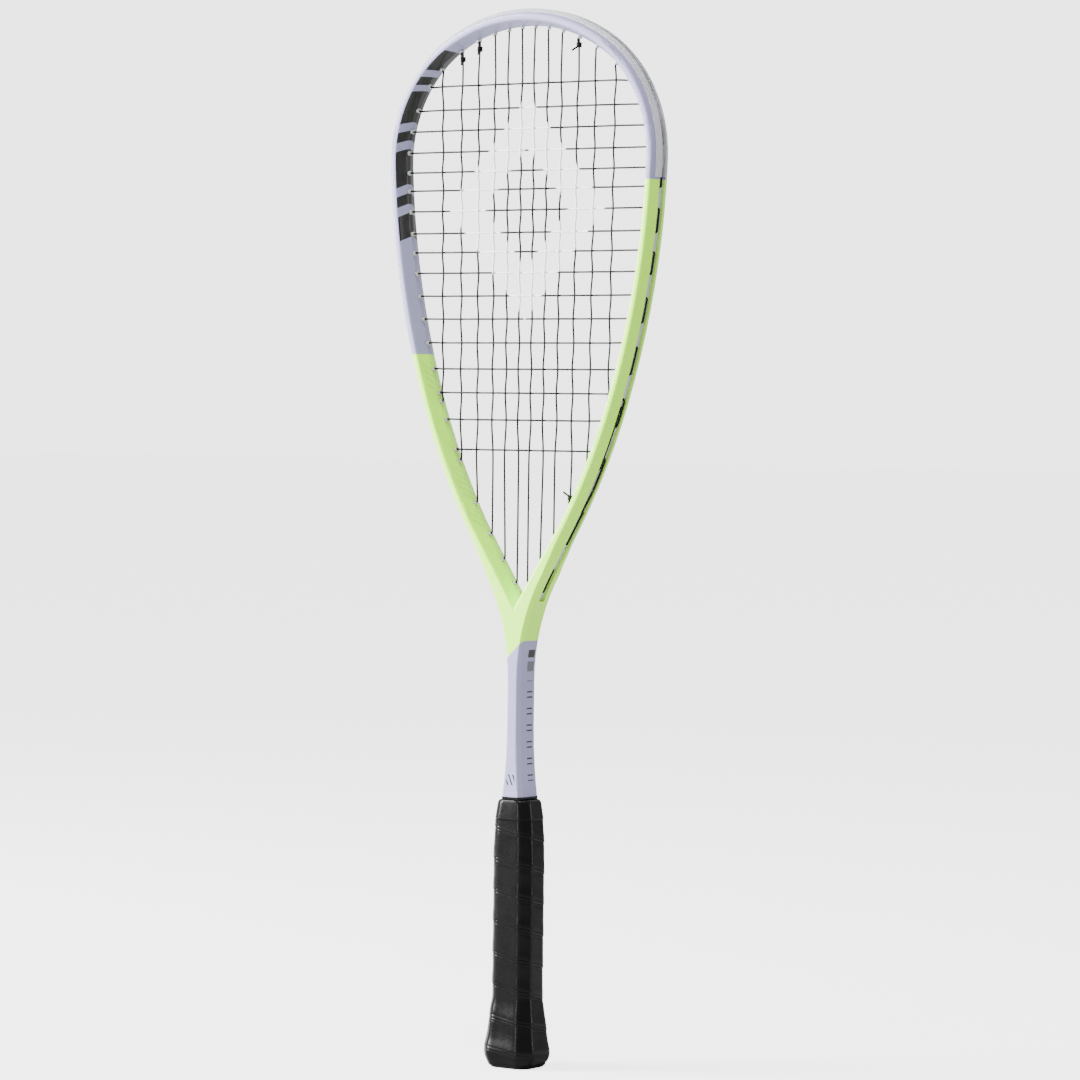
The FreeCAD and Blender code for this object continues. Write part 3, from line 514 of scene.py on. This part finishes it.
SLOT_OF = {
    "frame": "painted_carbon",
    "head_bumper": "clear_nylon",
    "grommet_strip_left": "grommet_nylon",
    "grommet_strip_right": "grommet_nylon",
    "throat_grommets_left": "grommet_nylon",
    "throat_grommets_right": "grommet_nylon",
    "main_string": "string_black",
    "cross_string": "string_black",
    "pallet_front": "handle_foam",
    "pallet_back": "handle_foam",
    "foam_core": "core_foam",
    "butt_cap": "cap_plastic",
    "butt_badge": "badge_plastic",
    "butt_staples": "staple_steel",
    "grip_staple": "staple_steel",
    "grip_tape": "grip_polyurethane",
    "rubber_collar": "collar_rubber",
    "finishing_tape": "tape_vinyl",
}


def dress(thing, slot):
    """Give a piece the one material of this slot."""
    thing.data.materials.clear()
    thing.data.materials.append(MATERIALS[slot])


# ---- Meshes -------------------------------------------------------------------------------

def between(value, levels, sizes):
    """Size at a height, in a straight line between levels."""
    value = min(max(value, levels[0]), levels[-1])
    for low, high, first, last in zip(levels, levels[1:], sizes, sizes[1:]):
        if value <= high:
            return first + (last - first) * (value - low) / (high - low)


def eight_sided(half_x, half_y, corner, flat_steps, corner_steps):
    """Points round a bevelled rectangle with rounded corners, anticlockwise from +X, -Y."""
    cut = BEVEL * half_y
    corners = [(half_x, -half_y + cut), (half_x, half_y - cut), (half_x - cut, half_y),
               (-half_x + cut, half_y), (-half_x, half_y - cut), (-half_x, -half_y + cut),
               (-half_x + cut, -half_y), (half_x - cut, -half_y)]
    corners = [Vector(point) for point in corners]
    reach = corner * math.tan(math.pi / 8)
    points = []
    for index, point in enumerate(corners):
        before = (corners[index - 1] - point).normalized()
        after = (corners[(index + 1) % 8] - point).normalized()
        centre = point + (before + after).normalized() * (corner / math.cos(math.pi / 8))
        first, last = point + before * reach, point + after * reach
        start = math.atan2(*(first - centre).yx)
        for step in range(corner_steps):
            angle = start + step / corner_steps * math.pi / 4
            points.append(centre + Vector((math.cos(angle), math.sin(angle))) * corner)
        following = corners[(index + 1) % 8]
        flat = following - after * reach - last
        points += [last + flat * step / flat_steps for step in range(flat_steps)]
    return points


def new_object(name, mesh):
    """An object in the scene that shows this mesh."""
    thing = bpy.data.objects.new(name, mesh)
    SCENE.collection.objects.link(thing)
    return thing


def smooth(mesh, degrees):
    """Smooth shading, with creases where faces meet at more than this angle."""
    for face in mesh.polygons:
        face.use_smooth = True
    mesh.set_sharp_from_angle(angle=math.radians(degrees))


def grip_ring(z, inside, *shape):
    """Outline of the grip at a height, this far inside its outer surface."""
    return eight_sided(between(z, GRIP_LEVELS, GRIP_WIDE) - inside,
                       between(z, GRIP_LEVELS, GRIP_DEEP) - inside, *shape)


def ring_normal(ring, index):
    """Outward normal of a closed outline at one of its points."""
    along = ring[(index + 1) % len(ring)] - ring[index - 1]
    return Vector((along.y, -along.x)).normalized()


def turn_shares():
    """Place of each column of the wrap, as a share of a turn from the right side's middle."""
    outline = grip_ring(PLAIN_HEIGHT, 0.0, GRIP_CORNER, *WRAP_STEPS)
    columns = len(outline)
    lengths = [(outline[(i + 1) % columns] - outline[i]).length for i in range(columns)]
    right = sum(lengths[:columns // 16])
    return [(sum(lengths[:i]) - right) / sum(lengths) for i in range(columns)]


def wind_tape(mesh):
    """Wind the tape's outer surface, each turn lapped over the one below it."""
    shares = turn_shares()
    rows = len(WRAP_PROFILE)
    grid = []
    for turn in range(-2, math.ceil((GRIP_TOP - GRIP_FOOT) / WRAP_PITCH) + 2):
        for rise, stand in WRAP_PROFILE:
            level = []
            for column, share in enumerate(shares):
                z = WRAP_PHASE + (turn - share) * WRAP_PITCH + rise
                ring = grip_ring(min(z, GRIP_LIP), 0.0, GRIP_CORNER, *WRAP_STEPS)
                point, out = ring[column], ring_normal(ring, column)
                wobble = WRAP_WOBBLE * noise.noise(Vector((point.x, point.y, z)) * WOBBLE_SCALE)
                point = point + out * (stand - WRAP_DEPTH + wobble)
                level.append(mesh.verts.new((point.x * MM, point.y * MM, z * MM)))
            grid.append(level)
    for row in range(rows, len(grid) - 1):
        lower, upper = grid[row], grid[row + 1]
        for i in range(len(shares) - 1):
            mesh.faces.new((lower[i], lower[i + 1], upper[i + 1], upper[i]))
        mesh.faces.new((lower[-1], grid[row - rows][0], grid[row + 1 - rows][0], upper[-1]))


def cut_across(mesh, height, **cleared):
    """Cut the mesh at a height, and clear the side that is named."""
    geometry = mesh.verts[:] + mesh.edges[:] + mesh.faces[:]
    bmesh.ops.bisect_plane(mesh, geom=geometry, plane_co=(0, 0, height * MM),
                           plane_no=(0, 0, 1), **cleared)


def pare_top(mesh):
    """Thin the wrap above its lip, where the collar covers it."""
    cut_across(mesh, GRIP_LIP)
    cut_across(mesh, PARED_EDGE)
    for vertex in mesh.verts:
        if vertex.co.z > (GRIP_LIP + PARED_EDGE) / 2 * MM:
            vertex.co.x *= GRIP_WIDE[-1] / GRIP_WIDE[-3]
            vertex.co.y *= GRIP_DEEP[-1] / GRIP_DEEP[-3]


def line_wrap(mesh):
    """Add the wrap's inner surface and close it to the outer one at both ends."""
    rims = [[edge for edge in mesh.edges if edge.is_boundary
             and all(abs(v.co.z - height * MM) < RIM_TOLERANCE * MM for v in edge.verts)]
            for height in (GRIP_FOOT, GRIP_TOP)]
    inner = []
    for z in GRIP_LEVELS:
        wall = GRIP_WALL if z < PARED_EDGE else GRIP_PARED
        ring = grip_ring(z, wall, INNER_CORNER, *WRAP_STEPS)
        inner.append([mesh.verts.new((p.x * MM, p.y * MM, z * MM)) for p in ring])
    for lower, upper in zip(inner, inner[1:]):
        for i in range(len(lower)):
            j = (i + 1) % len(lower)
            mesh.faces.new((lower[j], lower[i], upper[i], upper[j]))
    for rim, ring in zip(rims, (inner[0], inner[-1])):
        edges = [edge for edge in mesh.edges if edge.is_boundary
                 and all(vertex in set(ring) for vertex in edge.verts)]
        bmesh.ops.bridge_loops(mesh, edges=rim + edges)


def wrapped_grip():
    """Grip tape wound up the handle."""
    mesh = bmesh.new()
    wind_tape(mesh)
    cut_across(mesh, GRIP_FOOT, clear_inner=True)
    cut_across(mesh, GRIP_TOP, clear_outer=True)
    pare_top(mesh)
    loose = [vertex for vertex in mesh.verts if not vertex.link_faces]
    bmesh.ops.delete(mesh, geom=loose, context="VERTS")
    line_wrap(mesh)
    bmesh.ops.recalc_face_normals(mesh, faces=mesh.faces[:])
    data = bpy.data.meshes.new("grip_wrap")
    mesh.to_mesh(data)
    mesh.free()
    smooth(data, 50)
    return new_object("grip_wrap", data)


def moulded_collar():
    """Rubber collar with a beaded lip and a rounded top, closed round its section."""
    mesh = bmesh.new()
    rings = []
    for half_x, half_y, z in COLLAR:
        ring = eight_sided(half_x, half_y, COLLAR_CORNER, *COLLAR_STEPS)
        rings.append([mesh.verts.new((p.x * MM, p.y * MM, z * MM)) for p in ring])
    for lower, upper in zip(rings, rings[1:] + rings[:1]):
        for i in range(len(lower)):
            j = (i + 1) % len(lower)
            mesh.faces.new((lower[i], lower[j], upper[j], upper[i]))
    bmesh.ops.recalc_face_normals(mesh, faces=mesh.faces[:])
    data = bpy.data.meshes.new("collar")
    mesh.to_mesh(data)
    mesh.free()
    smooth(data, 60)
    return new_object("collar", data)


# ---- Pieces -------------------------------------------------------------------------------

for name, slot in SLOT_OF.items():
    dress(NODES[name], slot)

grip = wrapped_grip()
dress(grip, "grip_polyurethane")
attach(grip, "root")
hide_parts("grip_tape")

collar = moulded_collar()
dress(collar, "collar_rubber")
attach(collar, "root")
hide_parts("rubber_collar")


# ---- Camera, light and floor --------------------------------------------------------------

LENS = 151.0
TURN = math.radians(35.0)     # the camera stands this far round to the racket's right
DIP = 0.0281                  # and looks down by this
ROLL = 0.0120
DISTANCE = 2933.6
SLIDE, LIFT = -11.15, 0.5     # of the racket's middle, from the middle of the picture
TARGET = Vector((0, 0, (CAD_BOX[0][2] + CAD_BOX[1][2]) / 2))

AMBIENT = 0.75                # light from the surroundings
BACKDROP = 3.4                # how bright they look to the camera
FLOOR_SIZE = 60.0             # metres
FLOOR_GLOW = 2.9              # brightness added for the camera, so the floor meets the backdrop
# Name, place, width and height in metres, and watts
LIGHTS = (("key", (-2.1, -1.5, 1.3), 1.2, 1.8, 430),
          ("right_box", (2.1, 1.45, 0.6), 0.2, 1.6, 18),
          ("front_strip", (-0.5, -2.3, 0.4), 0.14, 1.5, 24),
          ("top_box", (0.2, -0.6, 2.6), 1.2, 0.8, 60))


def place_camera():
    """Long lens at the photograph's angle."""
    turn = (Matrix.Rotation(ROLL, 3, "Y") @ Matrix.Rotation(DIP, 3, "X")
            @ Matrix.Rotation(-TURN, 3, "Z"))
    right, forward, up = turn
    data = bpy.data.cameras.new("camera")
    data.lens = LENS
    data.sensor_width = 36
    data.clip_start, data.clip_end = 0.1, 60
    camera = new_object("camera", data)
    offset = turn.transposed() @ Vector((SLIDE, DISTANCE, LIFT)) * MM
    axes = Matrix((right, up, -forward)).transposed()
    camera.matrix_world = Matrix.Translation(TARGET - offset) @ axes.to_4x4()
    SCENE.camera = camera


def area_light(name, place, width, height, power):
    """White soft box that faces the racket."""
    data = bpy.data.lights.new(name, "AREA")
    data.shape = "RECTANGLE"
    data.size, data.size_y = width, height
    data.energy = power
    light = new_object(name, data)
    light.location = place
    light.rotation_mode = "QUATERNION"
    light.rotation_quaternion = (TARGET - Vector(place)).to_track_quat("-Z", "Y")


def studio():
    """Even white surroundings, a large key from the left and three weaker boxes."""
    world = bpy.data.worlds.new("surroundings")
    SCENE.world = world
    world.use_nodes = True
    tree = world.node_tree
    background = tree.nodes["Background"]
    ray = tree.nodes.new("ShaderNodeLightPath")
    level = tree.nodes.new("ShaderNodeMapRange")
    level.inputs["To Min"].default_value = AMBIENT
    level.inputs["To Max"].default_value = BACKDROP
    tree.links.new(ray.outputs["Is Camera Ray"], level.inputs["Value"])
    tree.links.new(level.outputs["Result"], background.inputs["Strength"])
    background.inputs["Color"].default_value = (1, 1, 1, 1)
    for light in LIGHTS:
        area_light(*light)


def make_floor():
    """Wide pale floor."""
    bpy.ops.mesh.primitive_grid_add(x_subdivisions=8, y_subdivisions=8, size=FLOOR_SIZE)
    floor = bpy.context.object
    floor.name = "floor"
    finish = Finish("floor")
    finish.set(Base_Color=(0.5, 0.5, 0.5), Roughness=0.9, Specular_IOR_Level=0.0)
    ray = finish.add("ShaderNodeLightPath")
    finish.set(Emission_Color=(1.0, 1.0, 1.0),
               Emission_Strength=finish.math("MULTIPLY", ray.outputs["Is Camera Ray"], FLOOR_GLOW))
    floor.data.materials.append(finish.material)


place_camera()
studio()
make_floor()
